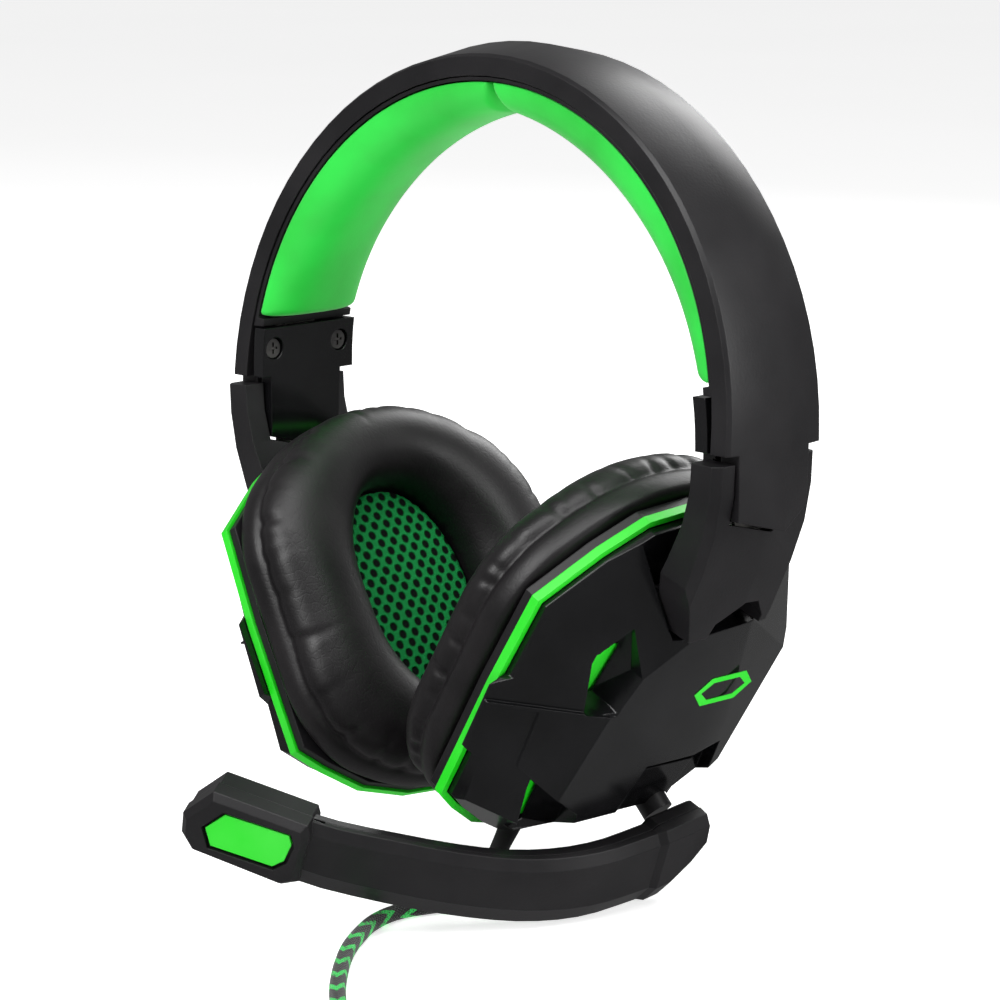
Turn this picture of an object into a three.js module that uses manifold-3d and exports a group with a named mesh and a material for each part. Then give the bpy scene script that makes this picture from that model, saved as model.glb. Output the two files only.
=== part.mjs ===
// A gaming headset: padded headband, two sliding yokes, two tilting ear cups, a swinging microphone boom
// and a braided lead. Millimetres, +Z up, +X to the wearer's left, -Y to the wearer's front.
import * as THREE from "three";
import { ConvexGeometry } from "three/addons/geometries/ConvexGeometry.js";
import { mergeVertices } from "three/addons/utils/BufferGeometryUtils.js";
import Module from "manifold-3d";

const wasm = await Module();
wasm.setup();

// ---------- driving dimensions ----------
const GAP = 0.3; // air between neighbouring pieces
const BIG = 200; // larger than any piece

const BAND_RADIUS = 91.3; // outer front edge of the headband, a half circle
const BAND_CENTRE_Z = 124.5; // height of that circle's centre
const BAND_SHELL = 5.7; // outer shell, radial thickness at its edges
const BAND_LINER = 3.2; // inner shell, radial thickness
const BAND_RIDGE = 2.4; // rise of the ridge along the outer shell
const BAND_HALF_WIDTH = { shoulder: 17.6, crown: 14.6 };
const BAND_MIDLINE = { shoulder: 4.6, crown: 9.9 }; // the band leans back towards the crown
const SHOULDER_Z = 123.2; // where the full width ends and the tongue begins
const TONGUE = { front: -9, rear: 17.4, cornerZ: 106.5, tipY: 6, tipZ: 102.6 };
const SPRING_STEEL = { inner: 85.0, thickness: 1.0, width: 15 };

const PAD_TOP_GAP = 0.4; // between the two pads at the crown
const PAD_END_ANGLE = 10.5; // degrees above the band's centre, lower end of a pad

const TILT = THREE.MathUtils.degToRad(29.6); // ear cups lean in towards each other at the bottom
const CUP_CENTRE = new THREE.Vector3(42.9, 0, 62.9);
const RING_MID = 1.5; // front-to-rear middle of a cup
const RING = { bottom: -0.6, top: 1.9, ledge: 1.8 };
const SHELL_TOP = 20; // plateau height above the ring plane
const SHELL_WALL = 2.2;
const PLATE = { bottom: -3.4, top: -0.9 };
const CUSHION = { base: -3.7, depth: -25.2, opening: [21.5, 30.5] };
const DRIVER = { radius: 20, front: -5.8, back: 2, magnet: 12.5, magnetBack: 7 };
const CLOTH = { front: -8.8, back: -7.6 };

const YOKE = { front: -16.2, rear: 20.2, ridge: 6 };
const TILT_PIVOT = { v: 28.5, w: 9.6, radius: 1.8, range: 9 }; // the cup tilts on pins along Y
const SLIDER = { inner: 84.0, outer: 85.0, front: -3, rear: 11, top: 139.5, bottom: 98.5 };

const BOOM_DROP = THREE.MathUtils.degToRad(10); // the boom points this far below level
const BOOM_ROOT = { u: 19.9, v: -42.9, w: 27 };
const BOOM_PIVOT = { u: 18.5, v: -41, w: 22, lean: THREE.MathUtils.degToRad(20), radius: 4.2 }; // shaft centre above the root's middle

const SURFACE = -6.3; // height of the surface that it stands on, under the boom
const CORD_RADIUS = 2.1;
const COIL = { x: 110, y: -162, middle: 23, half: 8.4, bottom: SURFACE + 1.5, height: 16.8 };

// ---------- materials ----------
const paint = (color, roughness, metalness = 0) =>
  new THREE.MeshStandardMaterial({ color, roughness, metalness });
const MATTE = paint(0x29282a, 0.55);
const GLOSS = paint(0x141316, 0.18);
const GREEN = paint(0x2fd83a, 0.45);
const PAD = paint(0x12d63a, 0.6);
const LEATHER = paint(0x1b191b, 0.5);
const CLOTH_GREEN = paint(0x0e6b3a, 0.9);
const STEEL = paint(0x8f9296, 0.3, 1);
const SCREW = paint(0x1c1c1e, 0.35, 1);
const BOARD = paint(0x17502a, 0.6);
const BRAID = paint(0x1a1a1a, 0.8);

// ---------- solids ----------
const V = (x, y, z) => new THREE.Vector3(x, y, z);

function solid(geometry) {
  const plain = geometry.clone();
  for (const name of ["normal", "uv"]) plain.deleteAttribute(name);
  const merged = mergeVertices(plain, 1e-4);
  return new wasm.Manifold(
    new wasm.Mesh({
      numProp: 3,
      vertProperties: new Float32Array(merged.attributes.position.array),
      triVerts: new Uint32Array(merged.index.array),
    }),
  );
}

function geometryOf(body) {
  const mesh = body.getMesh();
  return new THREE.BufferGeometry()
    .setAttribute("position", new THREE.BufferAttribute(new Float32Array(mesh.vertProperties), 3))
    .setIndex(new THREE.BufferAttribute(new Uint32Array(mesh.triVerts), 1));
}

// A flat outline [[a, b], ...] raised from z0 to z1.
function prism(outline, z0, z1) {
  const shape = new THREE.Shape(outline.map(([a, b]) => new THREE.Vector2(a, b)));
  const options = { depth: z1 - z0, bevelEnabled: false, curveSegments: 24 };
  return solid(new THREE.ExtrudeGeometry(shape, options).translate(0, 0, z0));
}

const hull = (points) => solid(new ConvexGeometry(points.map((p) => V(...p))));

function cylinder(radius, z0, z1, x = 0, y = 0, sides = 28) {
  const g = new THREE.CylinderGeometry(radius, radius, z1 - z0, sides).rotateX(Math.PI / 2);
  return solid(g.translate(x, y, (z0 + z1) / 2));
}

function block(x0, x1, y0, y1, z0, z1) {
  const g = new THREE.BoxGeometry(x1 - x0, y1 - y0, z1 - z0);
  return solid(g.translate((x0 + x1) / 2, (y0 + y1) / 2, (z0 + z1) / 2));
}

// The half space on the side that the normal points to, as a large block.
function above(point, normal) {
  const g = new THREE.BoxGeometry(2 * BIG, 2 * BIG, BIG).translate(0, 0, BIG / 2);
  const turn = new THREE.Quaternion().setFromUnitVectors(V(0, 0, 1), normal.clone().normalize());
  return solid(g.applyQuaternion(turn).translate(point.x, point.y, point.z));
}

// The triangles of a flat closed outline in space, as index triples.
function capTriangles(outline) {
  const normal = V(0, 0, 0);
  outline.forEach((p, i) => normal.add(p.clone().cross(outline[(i + 1) % outline.length])));
  const turn = new THREE.Quaternion().setFromUnitVectors(normal.normalize(), V(0, 0, 1));
  const flat = outline.map((p) => p.clone().applyQuaternion(turn));
  return THREE.ShapeUtils.triangulateShape(flat.map((p) => new THREE.Vector2(p.x, p.y)), []);
}

// A closed skin over cross-sections with the same number of points, with flat ends.
function loft(sections) {
  const count = sections[0].length;
  const last = (sections.length - 1) * count;
  const faces = rings(sections.length - 1, count, (i) => i * count);
  for (const [a, b, c] of capTriangles(sections[0])) faces.push([a, c, b]);
  for (const [a, b, c] of capTriangles(sections.at(-1))) faces.push([last + a, last + b, last + c]);
  return skin(sections.flat(), faces);
}

// A closed skin round a loop of cross-sections.
function loop(sections) {
  const count = sections[0].length;
  return skin(sections.flat(), rings(sections.length, count, (i) => (i % sections.length) * count));
}

// The faces between neighbouring cross-sections.
function rings(spans, count, start) {
  const faces = [];
  for (let i = 0; i < spans; i++)
    for (let j = 0; j < count; j++) {
      const k = (j + 1) % count;
      const [a, b, c, d] = [start(i) + j, start(i) + k, start(i + 1) + k, start(i + 1) + j];
      faces.push([a, b, c], [a, c, d]);
    }
  return faces;
}

// A solid from points and faces, turned to face out.
function skin(points, faces) {
  const made = (turned) =>
    solid(
      new THREE.BufferGeometry()
        .setFromPoints(points)
        .setIndex(faces.flatMap(([a, b, c]) => (turned ? [a, c, b] : [a, b, c]))),
    );
  const first = made(false);
  return first.volume() > 0 ? first : made(true);
}

const join = (bodies) => bodies.reduce((a, b) => a.add(b));

function mesh(name, body, material) {
  const made = new THREE.Mesh(geometryOf(body), material);
  made.name = name;
  return made;
}

function group(...children) {
  return new THREE.Group().add(...children);
}

const headset = new THREE.Group();
const bothSides = [
  { side: "left", scale: 1 },
  { side: "right", scale: -1 },
];

// ---------- headband ----------
const mix = (a, b, t) => a + (b - a) * t;

// How far up the band a height is: 0 at the shoulders, 1 at the crown.
const rise = (z) => Math.max(0, (z - SHOULDER_Z) / (BAND_CENTRE_Z + BAND_RADIUS - SHOULDER_Z));

// A point of the band at an angle round its arc, a radius and a place across the width, -1 front to 1 rear.
function bandPoint(angle, radius, across) {
  const t = rise(BAND_CENTRE_Z + BAND_RADIUS * Math.sin(angle));
  const half = mix(BAND_HALF_WIDTH.shoulder, BAND_HALF_WIDTH.crown, t);
  const y = mix(BAND_MIDLINE.shoulder, BAND_MIDLINE.crown, t) + across * half;
  return V(radius * Math.cos(angle), y, BAND_CENTRE_Z + radius * Math.sin(angle));
}

// Sections from one angle to another, each a list of [across, radius] pairs.
function bandArc(section, from, to, steps) {
  return Array.from({ length: steps + 1 }, (_, i) => {
    const t = i / steps;
    const pairs = typeof section === "function" ? section(t) : section;
    return pairs.map(([across, radius]) => bandPoint(mix(from, to, t), radius, across));
  });
}

// A section swept over the whole band, with a straight leg down at each end.
function bandWithLegs(section) {
  const leg = (x) => section.map(([across, r]) => V(x * r, bandPoint(0, r, across).y, TONGUE.tipZ - 12));
  return loft([leg(1), ...bandArc(section, 0, Math.PI, 40), leg(-1)]);
}

// An outline in the YZ plane, [[y, z], ...], as a block from x0 to x1.
function sideBlock(outline, x0, x1) {
  const turn = new THREE.Matrix4().makeBasis(V(0, 1, 0), V(0, 0, 1), V(1, 0, 0));
  const shape = new THREE.Shape(outline.map(([y, z]) => new THREE.Vector2(y, z)));
  const g = new THREE.ExtrudeGeometry(shape, { depth: x1 - x0, bevelEnabled: false });
  return solid(g.translate(0, 0, x0).applyMatrix4(turn));
}

// The tongue's outline from the shoulders down to its pointed end, grown by a margin.
function tongueOutline(margin) {
  const { front, rear, cornerZ, tipY, tipZ } = TONGUE;
  return [
    [front - margin, SHOULDER_Z + 20],
    [front - margin, cornerZ - margin],
    [tipY, tipZ - margin],
    [rear + margin - 1.5, cornerZ - margin + 1.5],
    [rear + margin, SHOULDER_Z + 20],
  ];
}

const belowShoulders = () => block(-BIG, BIG, -BIG, BIG, TONGUE.tipZ - 20, SHOULDER_Z);
const shoulderCut = () => belowShoulders().subtract(sideBlock(tongueOutline(0), -BIG, BIG));

const linerTop = BAND_RADIUS - BAND_SHELL - GAP;
const linerBottom = linerTop - BAND_LINER;
const steelAcross = (SPRING_STEEL.width / 2 + GAP) / BAND_HALF_WIDTH.crown;

function outerShell() {
  const edge = BAND_RADIUS - BAND_SHELL;
  const recess = SPRING_STEEL.inner + SPRING_STEEL.thickness + GAP;
  return bandWithLegs([
    [-1, edge],
    [-1, BAND_RADIUS - 0.7],
    [-0.93, BAND_RADIUS],
    [0.06, BAND_RADIUS + BAND_RIDGE],
    [0.94, BAND_RADIUS],
    [1, BAND_RADIUS - 0.8],
    [1, edge],
    [steelAcross, edge],
    [steelAcross, recess],
    [-steelAcross, recess],
    [-steelAcross, edge],
  ])
    .subtract(shoulderCut())
    .subtract(sliderSlot());
}

// The straight slot that a slider strip runs in, with air all round it.
function sliderSlot() {
  const { inner, outer, front, rear, top, bottom } = SLIDER;
  const slot = (x0, x1) => block(x0, x1, front - GAP, rear + GAP, bottom - GAP, top + GAP);
  return slot(inner - GAP, outer + GAP).add(slot(-outer - GAP, GAP - inner));
}

// The liner stops above the end covers.
const LINER_END_Z = 137.2;
const pocketFloor = linerTop - 1;

// The wide shallow pocket in the inner shell that both pads lie in.
function padPocket() {
  const from = THREE.MathUtils.degToRad(PAD_END_ANGLE) - 0.004;
  const section = [[-1.4, pocketFloor], [-1.4, 60], [1.4, 60], [1.4, pocketFloor]];
  return loft(bandArc(section, from, Math.PI - from, 80));
}

function innerShell() {
  const recess = SPRING_STEEL.inner - GAP;
  return bandWithLegs([
    [-0.95, linerBottom],
    [-0.97, linerTop],
    [-steelAcross, linerTop],
    [-steelAcross, recess],
    [steelAcross, recess],
    [steelAcross, linerTop],
    [0.97, linerTop],
    [0.95, linerBottom],
  ])
    .subtract(block(-BIG, BIG, -BIG, BIG, 0, LINER_END_Z))
    .subtract(padPocket());
}

// The sprung steel strip between the two shells, ending above the sliders.
const SPRING_END = THREE.MathUtils.degToRad(12);

function springBand() {
  const { inner, thickness, width } = SPRING_STEEL;
  const half = width / 2 / BAND_HALF_WIDTH.crown;
  const strip = [
    [-half, inner],
    [-half, inner + thickness],
    [half, inner + thickness],
    [half, inner],
  ];
  return loft(bandArc(strip, SPRING_END, Math.PI - SPRING_END, 30));
}

// Half of the padding under the band: thickest part way down, thin at both ends.
const PAD_PROFILE = [
  [-0.9, 0],
  [-0.92, 0.45],
  [-0.74, 0.88],
  [-0.3, 1],
  [0.3, 1],
  [0.74, 0.88],
  [0.92, 0.45],
  [0.9, 0],
];

function headPad() {
  const back = pocketFloor - GAP;
  const from = THREE.MathUtils.degToRad(PAD_END_ANGLE);
  const section = (t) => {
    const thick = 3 + 10 * Math.sin(Math.PI * mix(0.12, 0.86, t)) ** 0.7;
    return PAD_PROFILE.map(([across, depth]) => [1.05 * across, back - thick * depth]);
  };
  return loft(bandArc(section, from, Math.PI / 2 - PAD_TOP_GAP / back, 14));
}

// ---------- band ends ----------
const SCREWS = [
  { place: "front", y: -8, z: 131 },
  { place: "rear", y: 16, z: 131 },
];
const COVER = { inner: 80.6, outer: 83.7, front: -12, rear: 21.2, top: 136.8 };

function alongX(radius, x0, x1, y, z, sides = 20) {
  const g = new THREE.CylinderGeometry(radius, radius, x1 - x0, sides).rotateZ(Math.PI / 2);
  return solid(g.translate((x0 + x1) / 2, y, z));
}

// A drum about the band's own axis, straight below its centre.
function drum(radius) {
  const round = new THREE.CylinderGeometry(radius, radius, 2 * BIG, 120).translate(0, 0, BAND_CENTRE_Z);
  return solid(round).add(block(-radius, radius, -BIG, BIG, 0, BAND_CENTRE_Z));
}

// The cover on the inside of a band end, with its tongue between the yoke's prongs.
function endCover() {
  const { inner, outer, front, rear, top } = COVER;
  const plate = block(inner - 3, outer, front, rear, TONGUE.tipZ - 2, top).subtract(shoulderCut());
  const holes = SCREWS.flatMap(({ y, z }) => [alongX(1.7 + GAP, 70, 95, y, z), alongX(3.1, 70, 81.3, y, z)]);
  const skinBand = drum(outer).subtract(drum(inner - 0.9));
  return plate.intersect(skinBand).subtract(join(holes));
}

function endScrew({ y, z }) {
  const slots = block(79, 80.6, y - 1.6, y + 1.6, z - 0.35, z + 0.35).add(
    block(79, 80.6, y - 0.35, y + 0.35, z - 1.6, z + 1.6),
  );
  return alongX(2.7, 80.1, 81.0, y, z)
    .add(alongX(1.6, 80.9, 83.9, y, z, 12))
    .subtract(slots);
}

// ---------- yokes ----------
// The outer face going down: x and z of its front edge, and the thickness there.
const YOKE_STATIONS = [
  { x: 90.7, z: 120.9, thick: 8.4 },
  { x: 90.3, z: 113, thick: 8.5 },
  { x: 88.3, z: 103, thick: 9.2 },
  { x: 84.2, z: 92.5, thick: 10.2 },
  { x: 77.6, z: 79, thick: 11.2 },
  { x: 72.2, z: 69.5, thick: 11.6 },
];

function yokeBlank() {
  const { front, rear, ridge } = YOKE;
  const centre = YOKE_STATIONS.map(({ x, z }) => new THREE.Vector2(x, z));
  const sections = YOKE_STATIONS.map(({ thick }, i) => {
    const along = centre[Math.min(i + 1, centre.length - 1)].clone().sub(centre[Math.max(i - 1, 0)]).normalize();
    const out = (depth) => [centre[i].x - along.y * depth, centre[i].y + along.x * depth];
    const profile = [
      [front, -thick],
      [front, -1.8],
      [front + 2.2, 0],
      [ridge, 1.2],
      [rear - 1, 0.4],
      [rear, -0.6],
      [rear, -thick],
    ];
    return profile.map(([y, depth]) => V(out(depth)[0], y, out(depth)[1]));
  });
  return loft(sections);
}

// Into and out of the ear cup's own frame: u to the rear, v up in the ring plane, w outwards.
const CUP_FRAME = new THREE.Matrix4()
  .makeBasis(V(0, 1, 0), V(Math.sin(TILT), 0, Math.cos(TILT)), V(Math.cos(TILT), 0, -Math.sin(TILT)))
  .setPosition(CUP_CENTRE);
const toWorld = (body) => solid(geometryOf(body).applyMatrix4(CUP_FRAME));

const NOTCH = [
  [-8.6, 22.3],
  [19, 24.8],
  [26.5, 30],
  [28, 60],
  [-26, 60],
  [-16.2, 38.4],
];
const NOTCH_FLOOR = 4.6;

const alongU = (radius, u0, u1, v, w, sides = 32) => {
  const g = new THREE.CylinderGeometry(radius, radius, u1 - u0, sides).rotateZ(Math.PI / 2);
  return solid(g.translate((u0 + u1) / 2, v, w));
};

const BOSSES = [
  { place: "front", u: [-11, -4], pin: [-15.5, -5.5] },
  { place: "rear", u: [16.5, 25], pin: [18.5, 29.5] },
];

// Where a piece of the cup is, in the yoke's eyes, when its lower end has swung fully outwards.
function tilted(body) {
  const { v, w, range } = TILT_PIVOT;
  return body.translate([0, -v, -w]).rotate([-range, 0, 0]).translate([0, v, w]);
}

function yoke() {
  const { v, w, radius } = TILT_PIVOT;
  const bosses = join(BOSSES.map(({ u }) => alongU(4.2, u[0], u[1], v, w)));
  const holes = join(BOSSES.map(({ pin }) => alongU(radius + GAP, pin[0] - GAP, pin[1] + GAP, v, w)));
  const lower = prism([[-60, -20], [60, -20], [60, 52], [-60, 52]], -40, 60);
  const aroundNotch = lower.subtract(prism(insetOutline(NOTCH, 0.6), -50, 70));
  const outside = aroundNotch.add(tilted(aroundNotch));
  const arch = prism([[-5, 10], [-1.5, 30], [6.5, 35.5], [12, 35], [16.5, 29.5], [17, 10]], 0, 60);
  const legs = toWorld(bosses.subtract(outside).subtract(holes));
  return yokeBlank()
    .subtract(sideBlock(tongueOutline(0.7), 60, 120))
    .subtract(sliderSlot())
    .subtract(toWorld(outside))
    .subtract(toWorld(arch))
    .subtract(toWorld(holes))
    .add(legs);
}

function sliderStrip() {
  const { inner, outer, front, rear, top, bottom } = SLIDER;
  return block(inner, outer, front, rear, bottom, top);
}

// ---------- ear cups ----------
// The ring's outline, front half from the top down, [u, v]; the rear half mirrors it.
const RING_FRONT = [
  [-16, 48.8],
  [-29.4, 41.6],
  [-45.8, 29.5],
  [-48.3, 3],
  [-49.5, -33],
  [-42.6, -39.1],
  [-32, -46.6],
  [-17.5, -51],
];
const RING_OUTLINE = [
  [RING_MID, 50.6],
  ...RING_FRONT,
  [RING_MID, -52.3],
  ...RING_FRONT.map(([u, v]) => [2 * RING_MID - u, v]).reverse(),
];

// A counterclockwise outline moved inwards by a distance (outwards if it is negative).
function insetOutline(outline, distance) {
  const n = outline.length;
  const edges = outline.map(([x, y], i) => {
    const [x1, y1] = outline[(i + 1) % n];
    const length = Math.hypot(x1 - x, y1 - y);
    const [nx, ny] = [-(y1 - y) / length, (x1 - x) / length];
    return { nx, ny, reach: nx * x + ny * y + distance };
  });
  return edges.map((b, i) => {
    const a = edges[(i + n - 1) % n];
    const cross = a.nx * b.ny - a.ny * b.nx;
    return [(a.reach * b.ny - b.reach * a.ny) / cross, (a.nx * b.reach - b.nx * a.reach) / cross];
  });
}

// The shell's facets: each plane passes through three points [u, v, w].
const FACETS = {
  plateau: [[0, 0, SHELL_TOP], [10, 0, SHELL_TOP], [0, 10, SHELL_TOP]],
  upperFront: [[-43.2, 27.3, 4], [-28, 39, 4], [-15.4, 12.9, 20]],
  band: [[-43.2, 27.3, 5.3], [-47.1, 6.8, 5.3], [-28.6, 18.3, 14.35]],
  rear: [[17.8, 25.3, 20], [21.3, -18, 20], [46, 6, 14.8]],
  upperRear: [[18, 25.5, 20], [46.5, 5.5, 15], [44, 29, 5]],
  rearEdge: [[46.5, 5.5, 15], [40.5, -26, 14.5], [48.6, 0, 6]],
  lowerFront: [[-41, -37.5, 4], [-31, -45, 4], [-35.5, -34, 14.7]],
  bottom: [[-17, -48.7, 4], [20, -49.5, 4], [0, -40, 15]],
  lowerRear: [[44, -37.5, 4], [34, -45, 4], [37, -33.5, 14]],
};
const FRONT_FACET = [[-43.2, 27.3, 4], [-47.1, 6.8, 4], [-28.6, 18.3, 13.05]];

// The space above a facet, lowered by a depth.
function over(points, depth = 0) {
  const [a, b, c] = points.map((p) => V(...p));
  const normal = b.clone().sub(a).cross(c.clone().sub(a)).normalize();
  if (normal.z < 0) normal.negate();
  return above(a.addScaledVector(normal, -depth), normal);
}

const shellOutline = insetOutline(RING_OUTLINE, RING.ledge + GAP);
const RING_STEP = [[-50.7, 4.2], [-50.7, -15.5], [-44, -19], [-44, 8]];

// Where the front facet lies lower than the raised cross band.
const LOWERED = [
  [[-60, -0.6], [-19.5, 1.3], [-15.4, 12.9], [-8, 30], [-20, 60], [-60, 60]],
  [[-60, -60], [-15, -60], [-13.9, -42.6], [-15.6, -32], [-26, -26.3], [-38.8, -17.4], [-38, -0.6], [-60, -0.6]],
];

// Recesses: their outline on the surface and the floor that they slope down to.
const POCKETS = [
  {
    rim: [[-28.6, 18.3], [-18.9, 25.8], [-15.4, 12.9], [-19.5, 1.3], [-31.5, -0.4]],
    floor: [[-28.9, 17.6, 10.2], [-19, 16.4, 10.2], [-21.2, 2.7, 10.2], [-25.5, 0.9, 10.2], [-19.3, 24.6, 12.4],
      [-16.1, 12.5, 15.4], [-19.8, 2.3, 16.4]],
  },
  {
    rim: [[-34.5, -20.3], [-26.3, -26.6], [-15.8, -32.2], [-14.2, -42], [-31, -42.6], [-35, -33.5]],
    floor: [[-33.9, -21.3, 10.2], [-26.6, -26.6, 10.2], [-26, -39.3, 10.2], [-32.6, -37.6, 10.2],
      [-16.6, -32.8, 15], [-15.4, -41, 14], [-30, -41.8, 11.2]],
  },
];
const MIC_RECESS = [[3.6, -21.2], [-3.2, -47.4], [-3.4, -60], [38, -60], [36.5, -40], [34.6, -21.4]];
const MIC_RECESS_FLOOR = 13.6;
const MIC_BOSS = [[6, -24.3], [1, -45], [19, -46.5], [21, -38], [29.3, -25]];
const RELIEF_SEAT = { u: -20, w: 5.2, radius: 2.9 };

const floorHull = ({ rim, floor }) => hull([...rim.map(([u, v]) => [u, v, 30]), ...floor]);

function shellBlank() {
  const facets = Object.values(FACETS).map((points) => over(points));
  const wall = prism(shellOutline, RING.bottom, 30);
  const step = prism(RING_STEP, RING.top + GAP, 30);
  const lowered = join(LOWERED.map((outline) => prism(ccw(outline), 0, 40))).intersect(over(FRONT_FACET));
  return wall.add(step).subtract(join(facets)).subtract(lowered);
}

const ccw = (outline) =>
  THREE.ShapeUtils.isClockWise(outline.map(([x, y]) => ({ x, y }))) ? [...outline].reverse() : outline;

// The hollow inside a shell, which leaves the walls and what stands around each recess.
function shellHollow() {
  const facets = Object.values(FACETS).map((points) => over(points, SHELL_WALL));
  const core = prism(insetOutline(shellOutline, SHELL_WALL), RING.bottom - 1, 30).subtract(join(facets));
  const aroundNotch = prism(insetOutline(NOTCH, -5.5), NOTCH_FLOOR - SHELL_WALL, 40);
  const pocketWalls = join(POCKETS.map(({ rim }) => prism(insetOutline(ccw(rim), -2.2), 10.5, 40)));
  const aroundRecess = prism(insetOutline(ccw(MIC_RECESS), -2.2), MIC_RECESS_FLOOR - SHELL_WALL, 40);
  return core
    .subtract(over(FRONT_FACET, SHELL_WALL))
    .subtract(aroundNotch)
    .subtract(pocketWalls)
    .subtract(aroundRecess);
}

function outerCup() {
  const { v, w, radius } = TILT_PIVOT;
  const recess = prism(ccw(MIC_RECESS), MIC_RECESS_FLOOR, 40).subtract(
    prism(ccw(MIC_BOSS), 0, 18).subtract(over([[21, -38, 18], [29.3, -25, 15], [25, -45, 14]])),
  );
  const pins = join(BOSSES.map(({ pin }) => alongU(radius + GAP, pin[0] - GAP, pin[1] + GAP, v, w)));
  return shellBlank()
    .subtract(prism(NOTCH, NOTCH_FLOOR, 40))
    .subtract(join(POCKETS.map(floorHull)))
    .subtract(recess)
    .subtract(pins)
    .subtract(shellHollow());
}

// Round holes that only the cup with the microphone and the lead has.
function micCupHoles() {
  const shaft = onShaft(BOOM_PIVOT.radius + GAP, -14, 10, 36);
  return shaft.add(alongV(RELIEF_SEAT.radius + GAP, -60, -40, RELIEF_SEAT.u, RELIEF_SEAT.w));
}

function alongV(radius, v0, v1, u, w, sides = 20) {
  const g = new THREE.CylinderGeometry(radius, radius, v1 - v0, sides);
  return solid(g.translate(u, (v0 + v1) / 2, w));
}

// The green plate behind the slots.
function accentInsert() {
  const outline = [[-27.2, 18], [-30, -12], [-32.6, -33], [-31, -37.5], [-20, -39.5], [-18.2, -10], [-17.5, 17.6]];
  return prism(ccw(outline), 8.3, 9.8);
}

function ringTrim() {
  const hole = prism(insetOutline(RING_OUTLINE, RING.ledge), RING.bottom - 1, RING.top + 1);
  return prism(RING_OUTLINE, RING.bottom, RING.top).subtract(hole);
}

function backPlate() {
  const hole = cylinder(DRIVER.radius + GAP, PLATE.bottom - 1, PLATE.top + 1, RING_MID, 0, 36);
  return prism(insetOutline(RING_OUTLINE, 0.7), PLATE.bottom, PLATE.top).subtract(hole);
}

function driver() {
  const { radius, front, back, magnet, magnetBack } = DRIVER;
  const profile = [[0, front], [radius, front], [radius, back], [magnet, back], [magnet, magnetBack], [0, magnetBack]];
  const g = new THREE.LatheGeometry(profile.map(([r, w]) => new THREE.Vector2(r, w)), 36);
  return solid(g.rotateX(Math.PI / 2)).translate([RING_MID, 0, 0]);
}

// Cushion section: how far from the outer outline (0) to the opening (1), and the depth.
const CUSHION_SECTION = [
  [0.03, 0], [0, 0.18], [0.02, 0.42], [0.09, 0.7], [0.28, 0.93], [0.5, 1], [0.74, 0.93], [0.93, 0.7], [1, 0.4],
  [1, 0],
];

function superellipse(angle, halfU, halfV, power) {
  const [c, s] = [Math.cos(angle), Math.sin(angle)];
  const reach = (Math.abs(c / halfU) ** power + Math.abs(s / halfV) ** power) ** (-1 / power);
  return [reach * c, reach * s];
}

// Distance from the middle of the ring to its outline at an angle.
function ringDistance(angle) {
  const [c, s] = [Math.cos(angle), Math.sin(angle)];
  for (let i = 0; i < RING_OUTLINE.length; i++) {
    const [p, q] = [RING_OUTLINE[i], RING_OUTLINE[(i + 1) % RING_OUTLINE.length]];
    const [pu, du, dv] = [p[0] - RING_MID, q[0] - p[0], q[1] - p[1]];
    const across = c * dv - s * du;
    const along = (s * pu - c * p[1]) / across;
    if (along >= 0 && along <= 1 && (pu + along * du) * c + (p[1] + along * dv) * s > 0)
      return (pu * dv - p[1] * du) / across;
  }
}

// The cushion follows the ring with its corners eased, and stands a little proud of it.
function cushionReach(angle) {
  const nearby = [-4, -3, -2, -1, 0, 1, 2, 3, 4].map((k) => ringDistance(angle + 0.06 * k));
  return nearby.reduce((a, b) => a + b) / nearby.length + 1.2 + 1.6 * Math.max(0, Math.sin(angle));
}

// The deepest that a cushion goes at a height v: there it presses on the other ear's cushion.
const pressedDepth = (v) => (0.5 - CUP_CENTRE.x - v * Math.sin(TILT)) / Math.cos(TILT);

function earCushion() {
  const { base, depth, opening } = CUSHION;
  const steps = 48;
  const sections = Array.from({ length: steps }, (_, i) => {
    const angle = (2 * Math.PI * (i + 0.5)) / steps;
    const reach = cushionReach(angle);
    const [u1, v1] = superellipse(angle, opening[0], opening[1], 2.2);
    return CUSHION_SECTION.map(([t, d]) => {
      const v = mix(reach * Math.sin(angle), v1, t);
      return V(RING_MID + mix(reach * Math.cos(angle), u1, t), v, Math.max(mix(base, depth, d), pressedDepth(v)));
    });
  });
  return loop(sections);
}

function speakerCloth() {
  const [halfU, halfV] = CUSHION.opening.map((half) => half - GAP);
  const outline = Array.from({ length: 36 }, (_, i) => superellipse((Math.PI * i) / 18, halfU, halfV, 2.2));
  return prism(outline, CLOTH.front, CLOTH.back).translate([RING_MID, 0, 0]);
}

const wiringBoard = () => block(23, 37, -14, 9, 3, 4.6);

function pivotPin({ pin }) {
  return alongU(TILT_PIVOT.radius, pin[0], pin[1], TILT_PIVOT.v, TILT_PIVOT.w);
}

// ---------- microphone boom ----------
// The boom's frame: x forwards along its root, y up its height, z inwards to the face.
const BOOM_FRAME = CUP_FRAME.clone().multiply(
  new THREE.Matrix4()
    .makeBasis(
      V(-Math.cos(BOOM_DROP), -Math.sin(BOOM_DROP), 0),
      V(-Math.sin(BOOM_DROP), Math.cos(BOOM_DROP), 0),
      V(0, 0, -1),
    )
    .setPosition(BOOM_ROOT.u, BOOM_ROOT.v, BOOM_ROOT.w),
);

// The arm's centre line: how far forward and how far in.
const BOOM_LINE = [
  [-7, 0],
  [14, -0.4],
  [30, 0.4],
  [46, 5],
  [62, 13.6],
  [80, 27],
  [96, 42.5],
  [103, 53.5],
];
const BOOM_CURVE = new THREE.CatmullRomCurve3(BOOM_LINE.map(([x, z]) => V(x, 0, z)));

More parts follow.
